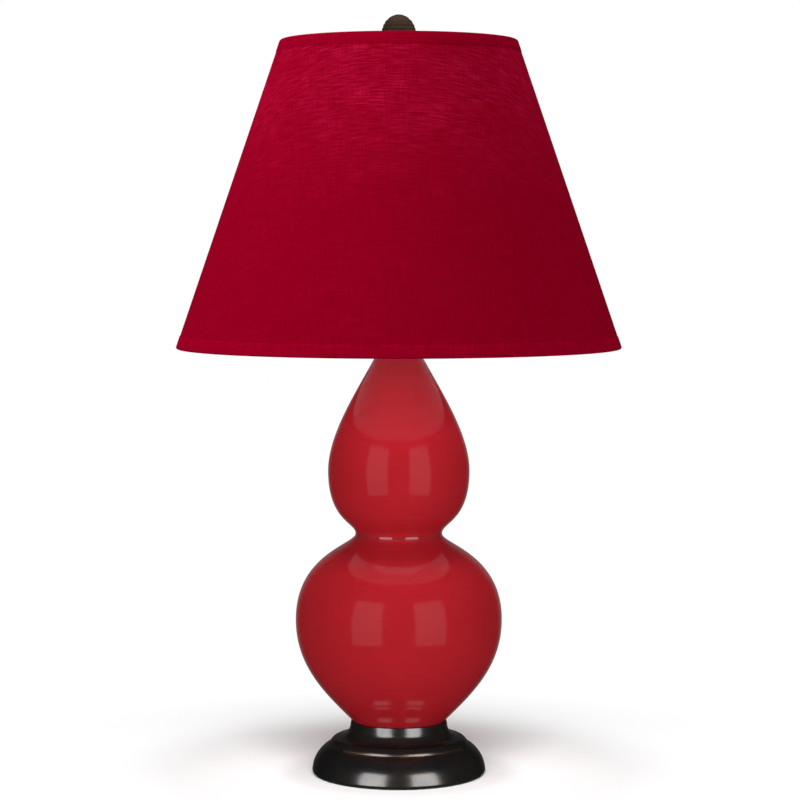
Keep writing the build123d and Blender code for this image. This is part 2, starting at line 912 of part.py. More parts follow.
def finial_knob():
    # a dome of rounded ribs, under it a curve back to the neck
    crown_top = finial_widest + finial_crown
    button_drop = (1 - (finial_button_radius / finial_radius) ** 2) ** 0.5
    ribs = []
    for step in range(finial_ribs + 1):
        height = step / finial_ribs * button_drop
        ribs.append((finial_radius * (1 - height**2) ** 0.5, finial_widest + finial_crown * height))
    bands = [chords(bowed(low, high, finial_rib_bow), 3) for low, high in zip(ribs, ribs[1:])]
    start = (finial_neck_radius, finial_neck_top)
    bore = stud_thread_radius + running_gap
    bore_top = thread_top + finial_thread_spare
    return turned(
        chords(bowed(start, ribs[0], finial_bow), 3),
        *bands,
        chords(domed(ribs[-1], (0, crown_top)), 2),
        Polyline((0, crown_top), (0, bore_top), (bore, bore_top), (bore, finial_neck_top), start),
    )


pieces = [
    base_felt,
    base_foot,
    cord_bushing,
    base_washer,
    base_nut,
    gourd_gasket,
    gourd_body,
    lamp_pipe,
    neck_cap,
    neck_spacer,
    harp_saddle,
    socket_cap,
    socket_set_screw,
    socket_shell,
    socket_liner,
    socket_body,
    terminal_screws,
    screw_shell,
    centre_contact,
    switch_stem,
    switch_knob,
    bulb_tip,
    bulb_insulator,
    bulb_base,
    bulb_glass,
    harp_wire,
    ferrule_left,
    ferrule_right,
    harp_stud,
    shade_spider,
    shade_bottom_ring,
    shade_liner,
    shade_fabric,
    shade_top_hem,
    shade_bottom_hem,
    finial_base,
    finial_knob,
]

os.makedirs("parts", exist_ok=True)
for piece in pieces:
    export_step(piece(), f"parts/{piece.__name__}.step")
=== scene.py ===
import math

import bmesh
import bpy
from mathutils import Matrix, Vector
from mathutils.geometry import interpolate_bezier


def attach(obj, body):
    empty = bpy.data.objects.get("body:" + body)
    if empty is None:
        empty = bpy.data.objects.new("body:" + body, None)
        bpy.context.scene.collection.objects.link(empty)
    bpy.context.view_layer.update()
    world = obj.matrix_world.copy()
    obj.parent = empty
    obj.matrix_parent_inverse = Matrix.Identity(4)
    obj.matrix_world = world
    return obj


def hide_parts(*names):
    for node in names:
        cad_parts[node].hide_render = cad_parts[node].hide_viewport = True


# A red double gourd lamp, dressed for its picture. Everything is in metres, in the frame of the CAD
# model: the origin is under the middle of the foot, +Z is up and -Y is the front. The sizes in the
# dictionaries of the pieces are in millimetres, and a pair is a radius and a height.

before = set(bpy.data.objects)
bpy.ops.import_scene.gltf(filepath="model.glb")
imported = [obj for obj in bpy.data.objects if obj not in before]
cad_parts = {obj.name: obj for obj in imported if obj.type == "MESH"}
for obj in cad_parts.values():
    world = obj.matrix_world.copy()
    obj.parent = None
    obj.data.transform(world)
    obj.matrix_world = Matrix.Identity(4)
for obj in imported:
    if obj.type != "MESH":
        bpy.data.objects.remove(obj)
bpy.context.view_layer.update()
mm = 0.001
quarterBow = 1 - math.cos(math.pi / 4)      # how far a quarter round of radius 1 stands off its chord
largeTurn, smallTurn = 192, 96              # steps round for the large turned pieces and the small ones
print("frame loaded:", len(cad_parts), "nodes")


def linear(hexColour):
    # an sRGB hex value as the linear colour that shaders work in
    channels = [int(hexColour[i:i + 2], 16) / 255 for i in (1, 3, 5)]
    return (*[c / 12.92 if c <= 0.04045 else ((c + 0.055) / 1.055) ** 2.4 for c in channels], 1.0)


def feed(tree, node, values=None, links=None):
    # values and incoming links of a node's sockets
    for socket, value in (values or {}).items():
        node.inputs[socket].default_value = value
    for socket, source in (links or {}).items():
        tree.links.new(source, node.inputs[socket])


def addNode(tree, kind, values=None, links=None, **settings):
    # one node with its settings, its sockets' values and its incoming links
    node = tree.nodes.new(kind)
    for name, setting in settings.items():
        setattr(node, name, setting)
    feed(tree, node, values, links)
    return node


def newMaterial(name):
    material = bpy.data.materials.new(name)
    material.use_nodes = True
    tree = material.node_tree
    return material, tree, tree.nodes["Principled BSDF"]


def levelBand(tree, height, level, reach, strength=1.0):
    # full strength at a level in millimetres, fading to nothing at its reach above and below
    offset = addNode(tree, "ShaderNodeMath", {1: level * mm}, {0: height}, operation="SUBTRACT")
    away = addNode(tree, "ShaderNodeMath", links={0: offset.outputs[0]}, operation="ABSOLUTE")
    band = addNode(tree, "ShaderNodeMapRange",
                   {"From Min": reach * mm, "From Max": 0.0, "To Max": strength},
                   {"Value": away.outputs[0]}, interpolation_type="SMOOTHSTEP")
    return band.outputs[0]


def arcPoints(start, end, bow, count):
    # count + 1 points of an arc that stands off its chord by bow, to the right of the way it goes
    start, end = Vector(start), Vector(end)
    chord = end - start
    aside = Vector((chord.y, -chord.x)).normalized()
    radius = (chord.length ** 2 / 4 + bow ** 2) / (2 * abs(bow))
    side = 1 if bow > 0 else -1
    centre = (start + end) / 2 + aside * (bow - side * radius)
    half = math.asin(min(1, chord.length / 2 / radius))
    arm = aside * side * radius
    turns = [half * (2 * i / count - 1) * side for i in range(count + 1)]
    return [tuple(centre + Matrix.Rotation(turn, 2) @ arm) for turn in turns]


def scaled(points):
    # millimetres to metres
    return [(x * mm, z * mm) for x, z in points]


def spun(outline, steps):
    # a bmesh turned round the Z axis from a closed outline of (radius, height) points in metres
    bm = bmesh.new()
    corners = [bm.verts.new((x, 0, z)) for x, z in outline]
    edges = [bm.edges.new(pair) for pair in zip(corners, corners[1:] + corners[:1])]
    bmesh.ops.spin(
        bm, geom=corners + edges, cent=(0, 0, 0), axis=(0, 0, 1), angle=math.tau,
        steps=steps, use_merge=True, use_duplicate=False,
    )
    bmesh.ops.remove_doubles(bm, verts=bm.verts, dist=1e-6)
    bmesh.ops.recalc_face_normals(bm, faces=bm.faces)
    return bm


def setUv(bm, place):
    # UV in metres from place(angle, radius), with no tear inside a face
    layer = bm.loops.layers.uv.new("UVMap")
    for face in bm.faces:
        middle = face.calc_center_median()
        facing = math.atan2(middle.x, -middle.y)
        for loop in face.loops:
            spot = loop.vert.co
            angle = math.atan2(spot.x, -spot.y)
            angle += math.tau * round((facing - angle) / math.tau)
            loop[layer].uv = place(angle, math.hypot(spot.x, spot.y))


def addPiece(name, bm, material, body, nodes=(), sharp=50):
    # the finished bmesh as a smooth piece that rides on a body and stands for CAD nodes
    mesh = bpy.data.meshes.new(name)
    bm.to_mesh(mesh)
    bm.free()
    mesh.shade_smooth()
    mesh.set_sharp_from_angle(angle=math.radians(sharp))
    mesh.materials.append(material)
    piece = bpy.data.objects.new(name, mesh)
    bpy.context.scene.collection.objects.link(piece)
    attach(piece, body)
    if nodes:
        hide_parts(*nodes)
    return piece


def dress(material, *nodes):
    # a better material on CAD nodes whose shape stays
    for node in nodes:
        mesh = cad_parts[node].data
        mesh.materials.clear()
        mesh.materials.append(material)


# Materials. The scale of a pattern is in cells to the metre, so 22 gives patches of about 45 mm.

def makeGlaze():
    # Glazed stoneware: a red colour under a thick clear gloss. The gloss gives crisp window-like
    # reflections, the colour thins a little where the glaze ran, and the glaze that lies thick in
    # the waist shines more.
    look = {
        "thin": "#a81a23", "pooled": "#b6212a", "roughness": 0.1, "ior": 1.5,
        "cloud": 22.0,                      # 45 mm patches
        "runs": (60.0, 60.0, 420.0),        # level rings 2.4 mm high
        "depthLift": 0.35, "shallow": 0.25, "deep": 0.95,
        "ripple": 45.0, "rippleStrength": 0.25, "rippleHeight": 0.25,       # 22 mm waves
        "waistLevel": 180.3, "waistReach": 3.2, "waistIor": 3.5,
    }
    material, tree, shader = newMaterial("glazedStoneware")
    spot = addNode(tree, "ShaderNodeTexCoord").outputs["Object"]
    cloud = addNode(tree, "ShaderNodeTexNoise", {"Scale": look["cloud"], "Detail": 3.0, "Roughness": 0.5},
                    {"Vector": spot})
    squeeze = addNode(tree, "ShaderNodeMapping", {"Scale": look["runs"]}, {"Vector": spot})
    rings = addNode(tree, "ShaderNodeTexNoise", {"Scale": 1.0, "Detail": 2.0},
                    {"Vector": squeeze.outputs[0]})
    blend = addNode(tree, "ShaderNodeMath", {2: look["depthLift"]},
                    {0: rings.outputs["Fac"], 1: cloud.outputs["Fac"]}, operation="MULTIPLY_ADD")
    depth = addNode(tree, "ShaderNodeMapRange", {"From Min": look["shallow"], "From Max": look["deep"]},
                    {"Value": blend.outputs[0]})
    colour = addNode(tree, "ShaderNodeMix", {6: linear(look["thin"]), 7: linear(look["pooled"])},
                     {0: depth.outputs[0]}, data_type="RGBA")
    ripple = addNode(tree, "ShaderNodeTexNoise", {"Scale": look["ripple"], "Detail": 1.0}, {"Vector": spot})
    bump = addNode(tree, "ShaderNodeBump",
                   {"Strength": look["rippleStrength"], "Distance": look["rippleHeight"] * mm},
                   {"Height": ripple.outputs["Fac"]})
    height = addNode(tree, "ShaderNodeSeparateXYZ", links={0: spot}).outputs["Z"]
    thick = levelBand(tree, height, look["waistLevel"], look["waistReach"])
    feed(tree, shader, {"Roughness": look["roughness"], "IOR": look["ior"], "Coat IOR": look["waistIor"]},
         {"Base Color": colour.outputs[2], "Normal": bump.outputs[0], "Coat Weight": thick})
    return material


def makeBronze(name, patina, brown, metallic, wearLevels):
    # Turned brass with a dark bronze patina, rubbed through to copper on the edges that hands and
    # cloths reach, and lacquered: nearly black with soft pale reflections. A wear level is a
    # height, its reach and its strength.
    look = {
        "worn": "#5c4030", "tint": "#6d645c",
        "roughness": 0.18, "brighter": 0.04, "duller": 0.08, "wornDuller": 0.5,
        "cloud": 55.0,                          # 18 mm patches
        "toolMarks": (150.0, 150.0, 2500.0),    # level lines 0.4 mm high
        "markStrength": 0.15, "markHeight": 0.05,
    }
    material, tree, shader = newMaterial(name)
    spot = addNode(tree, "ShaderNodeTexCoord").outputs["Object"]
    height = addNode(tree, "ShaderNodeSeparateXYZ", links={0: spot}).outputs["Z"]
    cloud = addNode(tree, "ShaderNodeTexNoise", {"Scale": look["cloud"], "Detail": 5.0, "Roughness": 0.6},
                    {"Vector": spot}).outputs["Fac"]
    tone = addNode(tree, "ShaderNodeMapRange", {"From Min": 0.35, "From Max": 0.75}, {"Value": cloud})
    ground = addNode(tree, "ShaderNodeMix", {6: linear(patina), 7: linear(brown)},
                     {0: tone.outputs[0]}, data_type="RGBA")
    wear = levelBand(tree, height, *wearLevels[0])
    for wearLevel in wearLevels[1:]:
        wear = addNode(tree, "ShaderNodeMath", links={0: wear, 1: levelBand(tree, height, *wearLevel)},
                       operation="MAXIMUM").outputs[0]
    rubbed = addNode(tree, "ShaderNodeMapRange", {"From Min": 0.3, "From Max": 0.65}, {"Value": cloud})
    wear = addNode(tree, "ShaderNodeMath", links={0: wear, 1: rubbed.outputs[0]},
                   operation="MULTIPLY").outputs[0]
    colour = addNode(tree, "ShaderNodeMix", {7: linear(look["worn"])},
                     {0: wear, 6: ground.outputs[2]}, data_type="RGBA")
    squeeze = addNode(tree, "ShaderNodeMapping", {"Scale": look["toolMarks"]}, {"Vector": spot})
    marks = addNode(tree, "ShaderNodeTexNoise", {"Scale": 1.0, "Detail": 2.0},
                    {"Vector": squeeze.outputs[0]}).outputs["Fac"]
    gloss = addNode(tree, "ShaderNodeMapRange",
                    {"To Min": look["roughness"] - look["brighter"],
                     "To Max": look["roughness"] + look["duller"]},
                    {"Value": marks})
    dull = addNode(tree, "ShaderNodeMath", {1: look["wornDuller"]}, {0: wear, 2: gloss.outputs[0]},
                   operation="MULTIPLY_ADD")
    bump = addNode(tree, "ShaderNodeBump",
                   {"Strength": look["markStrength"], "Distance": look["markHeight"] * mm},
                   {"Height": marks})
    feed(tree, shader, {"Metallic": metallic, "Specular Tint": linear(look["tint"])},
         {"Base Color": colour.outputs[2], "Roughness": dull.outputs[0], "Normal": bump.outputs[0]})
    return material


def makeCloth(name, ground, slubsAndTopGlow):
    # Dyed cotton plain weave: matt, with a soft bloom at the edges. Thicker weft threads run level across
    # the front as short pale dashes. Near the top there are far more of them, and that extra share is
    # painted light: a glow of light through the upper shade. The threads are about 0.3 mm; they are drawn
    # 0.9 mm thick so that they show.
    look = {
        "shadow": "#86001b", "slub": "#b6123a", "roughness": 0.85,
        "sheen": "#e05070", "sheenWeight": 0.02, "sheenRoughness": 0.4,
        "threadStrength": 0.35, "threadHeight": 0.12, "weaveShare": 0.5,
    }
    # cells to the metre along and across the cloth as it lies flat
    weaves = {"weft": (42.0, 1150.0), "warp": (1150.0, 55.0), "slub": (70.0, 1050.0), "patch": (20.0, 45.0)}
    material, tree, shader = newMaterial(name)
    spot = addNode(tree, "ShaderNodeUVMap", uv_map="UVMap").outputs[0]
    grain = {}
    for kind, (along, across) in weaves.items():
        squeeze = addNode(tree, "ShaderNodeMapping", {"Scale": (along, across, 1.0)}, {"Vector": spot})
        grain[kind] = addNode(tree, "ShaderNodeTexNoise", {"Scale": 1.0, "Detail": 2.0, "Roughness": 0.6},
                              {"Vector": squeeze.outputs[0]}, noise_dimensions="2D").outputs["Fac"]
    weave = addNode(tree, "ShaderNodeMath", links={0: grain["weft"], 1: grain["warp"]}, operation="ADD")
    threads = addNode(tree, "ShaderNodeMapRange", {"From Min": 0.75, "From Max": 1.25},
                      {"Value": weave.outputs[0]})
    base = addNode(tree, "ShaderNodeMix", {6: linear(look["shadow"]), 7: linear(ground)},
                   {0: threads.outputs[0]}, data_type="RGBA")
    dash = addNode(tree, "ShaderNodeMapRange", {"From Min": 0.38, "From Max": 0.72},
                   {"Value": grain["slub"]})
    crossed = addNode(tree, "ShaderNodeMapRange",
                      {"From Min": 0.35, "From Max": 0.65, "To Min": 0.7, "To Max": 1.25},
                      {"Value": grain["warp"]})
    patch = addNode(tree, "ShaderNodeMapRange",
                    {"From Min": 0.32, "From Max": 0.66, "To Min": 0.45, "To Max": 0.95},
                    {"Value": grain["patch"]})
    # painted light: the pale dashes grow many more towards the cone's tip, standing for light glowing
    # through the top of the shade
    slant = addNode(tree, "ShaderNodeVectorMath", links={0: spot}, operation="LENGTH")
    upper = addNode(tree, "ShaderNodeMapRange",
                    {"From Min": slubsAndTopGlow["from"], "From Max": slubsAndTopGlow["to"],
                     "To Min": slubsAndTopGlow["above"], "To Max": slubsAndTopGlow["below"]},
                    {"Value": slant.outputs["Value"]}, interpolation_type="SMOOTHSTEP")
    slubAndGlowShare = dash.outputs[0]
    for share in (crossed, patch, upper):
        slubAndGlowShare = addNode(tree, "ShaderNodeMath", links={0: slubAndGlowShare, 1: share.outputs[0]},
                         operation="MULTIPLY").outputs[0]
    colour = addNode(tree, "ShaderNodeMix", {7: linear(look["slub"])},
                     {0: slubAndGlowShare, 6: base.outputs[2]}, data_type="RGBA")
    relief = addNode(tree, "ShaderNodeMath", {1: look["weaveShare"]}, {0: weave.outputs[0], 2: slubAndGlowShare},
                     operation="MULTIPLY_ADD")
    bump = addNode(tree, "ShaderNodeBump",
                   {"Strength": look["threadStrength"], "Distance": look["threadHeight"] * mm},
                   {"Height": relief.outputs[0]})
    feed(tree, shader,
         {"Roughness": look["roughness"], "Specular IOR Level": 0.0, "Sheen Weight": look["sheenWeight"],
          "Sheen Roughness": look["sheenRoughness"], "Sheen Tint": linear(look["sheen"])},
         {"Base Color": colour.outputs[2], "Normal": bump.outputs[0]})
    return material


def makeMetal(name, colour, roughness, grainScale):
    # Plated or lacquered sheet and turned metal: bright, with faint tool marks and slow changes of
    # gloss that keep large faces from looking like a mirror.
    material, tree, shader = newMaterial(name)
    spot = addNode(tree, "ShaderNodeTexCoord").outputs["Object"]
    marks = addNode(tree, "ShaderNodeTexNoise", {"Scale": grainScale, "Detail": 4.0},
                    {"Vector": spot}).outputs["Fac"]
    gloss = addNode(tree, "ShaderNodeMapRange", {"To Min": roughness * 0.7, "To Max": roughness * 1.4},
                    {"Value": marks})
    shade = addNode(tree, "ShaderNodeMapRange", {"To Min": 0.88, "To Max": 1.06}, {"Value": marks})
    tint = addNode(tree, "ShaderNodeHueSaturation", {"Color": linear(colour)}, {"Value": shade.outputs[0]})
    bump = addNode(tree, "ShaderNodeBump", {"Strength": 0.1, "Distance": 0.04 * mm}, {"Height": marks})
    feed(tree, shader, {"Metallic": 1.0},
         {"Base Color": tint.outputs[0], "Roughness": gloss.outputs[0], "Normal": bump.outputs[0]})
    return material


def makeSolid(name, dark, light, roughness, grainScale, grainHeight, coat=0.0):
    # Moulded, painted, pressed or vitrified stuff: two near colours mixed by its own grain, and
    # the same grain as a fine relief.
    material, tree, shader = newMaterial(name)
    spot = addNode(tree, "ShaderNodeTexCoord").outputs["Object"]
    grain = addNode(tree, "ShaderNodeTexNoise", {"Scale": grainScale, "Detail": 5.0, "Roughness": 0.65},
                    {"Vector": spot}).outputs["Fac"]
    tone = addNode(tree, "ShaderNodeMapRange", {"From Min": 0.3, "From Max": 0.7}, {"Value": grain})
    colour = addNode(tree, "ShaderNodeMix", {6: linear(dark), 7: linear(light)}, {0: tone.outputs[0]},
                     data_type="RGBA")
    gloss = addNode(tree, "ShaderNodeMapRange", {"To Min": roughness * 0.85, "To Max": roughness * 1.1},
                    {"Value": grain})
    bump = addNode(tree, "ShaderNodeBump", {"Strength": 0.3, "Distance": grainHeight * mm},
                   {"Height": grain})
    feed(tree, shader, {"Coat Weight": coat},
         {"Base Color": colour.outputs[2], "Roughness": gloss.outputs[0], "Normal": bump.outputs[0]})
    return material


glaze = makeGlaze()

# worn edges: of the dome, the bead and the underside, and of the finial's foot
footWear = [(22.4, 1.7, 0.5), (28.0, 0.9, 0.2), (2.2, 1.2, 0.15)]
finialWear = [(535.6, 1.0, 0.4)]
footBronze = makeBronze("patinatedBronze", "#2e2e2f", "#3d3732", 0.6, footWear)
finialBronze = makeBronze("ribbedBronze", "#4c3e35", "#6b5748", 0.2, finialWear)

# share of the slub dashes that shows above and below where they fade out, 0.30 to 0.41 m from the cone's
# tip; the many pale dashes near the top are painted light, a glow through the upper shade
cloth = makeCloth("wovenCotton", "#92001f", {"from": 0.30, "to": 0.41, "above": 1.0, "below": 0.12})
# the hem tape is the same cloth with its ground painted a little lighter: painted light standing for the
# brighter top band; the bottom hem shares it
paintedLighterHemCloth = makeCloth("hemTape", "#9c0023", {"from": 0.30, "to": 0.41, "above": 0.12, "below": 0.12})

# metals: colour, roughness and scale of the grain
brass = makeMetal("lacqueredBrass", "#c99a4b", 0.22, 260.0)         # warm yellow, clear shine
steel = makeMetal("zincPlatedSteel", "#a9a9a4", 0.32, 320.0)        # grey, satin
aluminium = makeMetal("rolledAluminium", "#c4c4c2", 0.3, 300.0)     # pale, satin
solder = makeMetal("softSolder", "#8e8e8c", 0.42, 500.0)            # grey, dull bead

# the rest: darker and lighter colour, roughness, scale and height in mm of the grain, clear coat
# the liner is white styrene; its faint pink is painted light, the red of the cloth shining through it
styrene = makeSolid("styreneSheet", "#eadde4", "#f2e6ec", 0.45, 60.0, 0.02)     # smooth, faintly pink
whiteEnamel = makeSolid("powderCoat", "#dcdad4", "#e9e7e1", 0.4, 900.0, 0.03)   # fine orange peel
phenolic = makeSolid("mouldedPhenolic", "#15110f", "#241c18", 0.38, 240.0, 0.01, 0.2)   # black brown, waxy
knobPlastic = makeSolid("mouldedPlastic", "#101010", "#1b1b1a", 0.42, 400.0, 0.01)      # black, half matt
felt = makeSolid("pressedFelt", "#1c211d", "#303832", 0.95, 900.0, 0.25)        # dead matt, hairy
pressedCard = makeSolid("pressedCard", "#7d6a4c", "#97825f", 0.85, 500.0, 0.05)     # brown, fibrous
corkRubber = makeSolid("corkRubber", "#2e241a", "#55422e", 0.9, 500.0, 0.08)    # dark, light crumbs
softWhiteGlass = makeSolid("softWhiteGlass", "#efece4", "#f6f4ee", 0.28, 40.0, 0.005, 0.6)  # milky, shiny
capGlass = makeSolid("blackCapGlass", "#0b0b0d", "#151518", 0.12, 90.0, 0.01, 0.5)  # nearly black, glossy
print("materials made:", len(bpy.data.materials))


# the inlet's lean is its axis, outwards and up
footSizes = {
    "bottom": 1.2, "radius": 65.1, "edgeRound": 1.6, "domeTop": (53.2, 22.2), "domeBow": 2.85,
    "crease": 1.2, "creaseSoft": 0.35, "beadTop": (46.0, 27.2), "beadBow": 1.4,
    "coveFoot": (43.4, 28.0), "coveTop": 37.4, "coveBow": 2.05, "collarFlare": 0.4,
    "top": 39.9, "rimInner": 35.13, "rimWidth": 0.75, "rimRound": 0.4, "rimBow": 0.12,
    "recess": (34.25, 38.0), "seatLevel": 39.0, "webBottom": 34.5, "hole": 5.0, "wall": 3.0,
    "innerCove": (41.4, 25.0), "innerDome": (51.2, 19.6), "innerEdge": (61.7, 4.2),
    "inlet": (62.717, 11.913), "inletLean": (0.899552, 0.436815), "inletHole": 4.85,
    "spotFace": 6.15, "spotDepth": 1.0,
}


def footOutline(s):
    collar, soft = s["rimInner"] + s["rimWidth"], s["creaseSoft"]
    domeRadius, domeHeight = s["domeTop"]
    edgeStart = (s["radius"] - s["edgeRound"], s["bottom"])
    edgeEnd = (s["radius"], s["bottom"] + s["edgeRound"])
    outer = arcPoints(edgeStart, edgeEnd, s["edgeRound"] * quarterBow, 6)
    outer += arcPoints(edgeEnd, (domeRadius + soft / 2, domeHeight - soft), s["domeBow"], 24)[1:]
    outer += arcPoints(outer[-1], (domeRadius - soft, domeHeight), soft / 4, 3)[1:]
    outer += [(domeRadius - s["crease"] + soft, domeHeight)]
    outer += arcPoints((domeRadius - s["crease"], domeHeight), s["beadTop"], s["beadBow"], 14)
    outer += arcPoints(s["coveFoot"], (collar + s["collarFlare"], s["coveTop"]), -s["coveBow"], 14)
    outer += arcPoints((collar, s["top"] - s["rimRound"]), (collar - s["rimRound"], s["top"]),
                       s["rimBow"], 4)
    inner = [
        (s["rimInner"], s["top"]), (s["recess"][0], s["seatLevel"]), s["recess"],
        (s["hole"], s["recess"][1]), (s["hole"], s["webBottom"]), (collar - s["wall"], s["webBottom"]),
        s["innerCove"], s["innerDome"], s["innerEdge"], (s["radius"] - s["wall"], s["bottom"]),
    ]
    return scaled(outer + inner)


def drilled(bm, s):
    # the foot with the spot-faced hole of the cord inlet cut square to the dome
    place, lean = Vector((0, *s["inlet"])) * mm, Vector((0, *s["inletLean"]))
    inside, outside, step = -3 * s["wall"], 2 * s["wall"], -s["spotDepth"]
    drill = spun(scaled([(0, inside), (s["inletHole"], inside), (s["inletHole"], step),
                         (s["spotFace"], step), (s["spotFace"], outside), (0, outside)]), smallTurn // 2)
    drill.transform(Matrix.Translation(place) @ lean.to_track_quat("Z", "X").to_matrix().to_4x4())
    pair = []
    for source in (bm, drill):
        mesh = bpy.data.meshes.new("blank")
        source.to_mesh(mesh)
        source.free()
        pair.append(bpy.data.objects.new("blank", mesh))
        bpy.context.scene.collection.objects.link(pair[-1])
    cut = pair[0].modifiers.new("inlet", "BOOLEAN")
    cut.object, cut.operation, cut.solver = pair[1], "DIFFERENCE", "EXACT"
    result = bmesh.new()
    result.from_object(pair[0], bpy.context.evaluated_depsgraph_get())
    for blank in pair:
        mesh = blank.data
        bpy.data.objects.remove(blank)
        bpy.data.meshes.remove(mesh)
    return result


footMesh = drilled(spun(footOutline(footSizes), largeTurn), footSizes)
foot = addPiece("turnedFoot", footMesh, footBronze, "lamp", ["base_foot"], sharp=35)
print("foot turned")


# heights above the gourd's own bottom and angles in degrees; the last two lines are how full each
# curve runs
gourdSizes = {
    "bottom": 39.0, "seat": (33.9, 0.0), "seatAngle": 45.5, "belly": (77.3, 77.2), "waist": (32.4, 141.8),
    "upper": (52.9, 188.9), "neck": (15.1, 278.8), "neckAngle": 62.2, "wall": 5.5,
    "baseHole": 8.0, "mouth": 8.8, "mouthDepth": 2.5, "lip": 0.8,
    "seatFull": 0.39, "bellyBelow": 0.46, "bellyAbove": 0.76, "waistBelow": 0.139, "waistAbove": 0.185,
    "upperBelow": 0.80, "upperAbove": 0.318, "neckFull": 0.347,
}


def gourdCurve(s, inset, count):
    # four curves from the seat to the neck, upright where they meet
    seatTurn, neckTurn = math.radians(s["seatAngle"]), math.radians(s["neckAngle"])
    bellyRise = s["belly"][1]
    waistRise = s["waist"][1] - s["belly"][1]
    upperRise = s["upper"][1] - s["waist"][1]
    neckRise = s["neck"][1] - s["upper"][1]
    levels = [Vector((s[k][0] - inset, s[k][1])) for k in ("belly", "waist", "upper")]
    below = [s["bellyBelow"] * bellyRise, s["waistBelow"] * waistRise, s["upperBelow"] * upperRise]
    above = [s["bellyAbove"] * waistRise, s["waistAbove"] * upperRise, s["upperAbove"] * neckRise]
    start = Vector((s["seat"][0] - inset * math.sin(seatTurn), inset * math.cos(seatTurn)))
    handle = start + Vector((math.cos(seatTurn), math.sin(seatTurn))) * s["seatFull"] * bellyRise
    points = []
    for level, pullBelow, pullAbove in zip(levels, below, above):
        points += interpolate_bezier(start, handle, level - Vector((0, pullBelow)), level, count)[:-1]
        start, handle = level, level + Vector((0, pullAbove))
    neck = Vector((s["neck"][0] - inset * math.sin(neckTurn), s["neck"][1] - inset * math.cos(neckTurn)))
    back = Vector((math.cos(neckTurn), -math.sin(neckTurn))) * s["neckFull"] * neckRise
    points += interpolate_bezier(start, handle, neck + back, neck, count)
    return [(p.x, p.y) for p in points]


def gourdOutline(s):
    neckRadius, neckHeight = s["neck"]
    outer = gourdCurve(s, 0, 40)
    inner = gourdCurve(s, s["wall"], 8)
    rim = [(neckRadius - s["lip"], neckHeight), (s["mouth"], neckHeight),
           (s["mouth"], neckHeight - s["mouthDepth"])]
    base = [(s["baseHole"], s["wall"]), (s["baseHole"], 0.0)]
    return scaled([(x, z + s["bottom"]) for x, z in outer + rim + inner[::-1] + base])


gourdMesh = spun(gourdOutline(gourdSizes), largeTurn)
gourd = addPiece("glazedGourd", gourdMesh, glaze, "lamp", ["gourd_body"])
print("gourd turned")


dress(footBronze, "neck_cap", "neck_spacer")
dress(brass, "harp_saddle", "socket_cap", "socket_shell", "screw_shell", "centre_contact",
      "terminal_screws", "switch_stem", "harp_wire", "ferrule_left", "ferrule_right", "harp_stud")
dress(steel, "lamp_pipe", "base_nut", "base_washer", "socket_set_screw")
dress(phenolic, "socket_body")
dress(pressedCard, "socket_liner")
dress(knobPlastic, "switch_knob", "cord_bushing")
dress(corkRubber, "gourd_gasket")
dress(felt, "base_felt")
dress(whiteEnamel, "shade_spider", "shade_bottom_ring")
dress(solder, "bulb_tip")
dress(capGlass, "bulb_insulator")
dress(aluminium, "bulb_base")


bulbSizes = {
    "neck": (12.45, 386.65), "shoulder": 396.9, "widest": (30.0, 450.0), "crown": 480.0, "wall": 1.0,
}


def bulbCurve(s, inset, count=20):
    # a straight neck, a slack curve to the widest level and a round crown
    neck = Vector((s["neck"][0] - inset, s["neck"][1]))
    shoulder = Vector((s["neck"][0] - inset, s["shoulder"]))
    widest = Vector((s["widest"][0] - inset, s["widest"][1]))
    pull = Vector((0, (widest.y - shoulder.y) / 2))
    side = interpolate_bezier(shoulder, shoulder + pull, widest - pull, widest, count)
    dome = [(widest.x * math.cos(turn), widest.y + widest.x * math.sin(turn))
            for turn in (math.radians(90 * i / count) for i in range(1, count))]
    return [tuple(neck)] + [(p.x, p.y) for p in side] + dome + [(0, s["crown"] - inset)]


bulbOutline = scaled(bulbCurve(bulbSizes, 0) + bulbCurve(bulbSizes, bulbSizes["wall"])[::-1])
bulbMesh = spun(bulbOutline, smallTurn)
addPiece("bulbGlass", bulbMesh, softWhiteGlass, "bulb", ["bulb_glass"])
print("bulb blown")


# depths are measured square to the shade, from its outside; the turn of the threads is in degrees
shadeSizes = {
    "top": (87.9, 547.45), "bottom": (166.0, 319.65), "edgeGap": 1.05, "threadTurn": -4.0,
    "clothDepth": 0.3, "clothThick": 0.5, "linerDepth": 1.5, "linerThick": 1.0,
}
shadeRise = shadeSizes["top"][1] - shadeSizes["bottom"][1]
shadeTaper = (shadeSizes["bottom"][0] - shadeSizes["top"][0]) / shadeRise
shadeSlope = math.hypot(1, shadeTaper)
shadeLean = shadeTaper / shadeSlope          # sine of the cone's half angle


def coneRadius(height, depth=0.0):
    return shadeSizes["bottom"][0] - (height - shadeSizes["bottom"][1]) * shadeTaper - depth * shadeSlope


def coneStrip(low, high, depth, thick, rows):
    # outline of a layer of the shade, from its outer lower edge up and back down inside
    heights = [low + (high - low) * i / rows for i in range(rows + 1)]
    outer = [(coneRadius(z, depth), z) for z in heights]
    inner = [(coneRadius(z, depth + thick), z) for z in heights[::-1]]
    return scaled(outer + inner)


def flatCloth(angle, radius):
    # place on the cloth laid out flat, where its threads are straight; length from the cone's tip
    slant = radius / shadeLean
    turn = (angle - math.radians(shadeSizes["threadTurn"])) * shadeLean
    return (slant * math.sin(turn), slant * math.cos(turn))


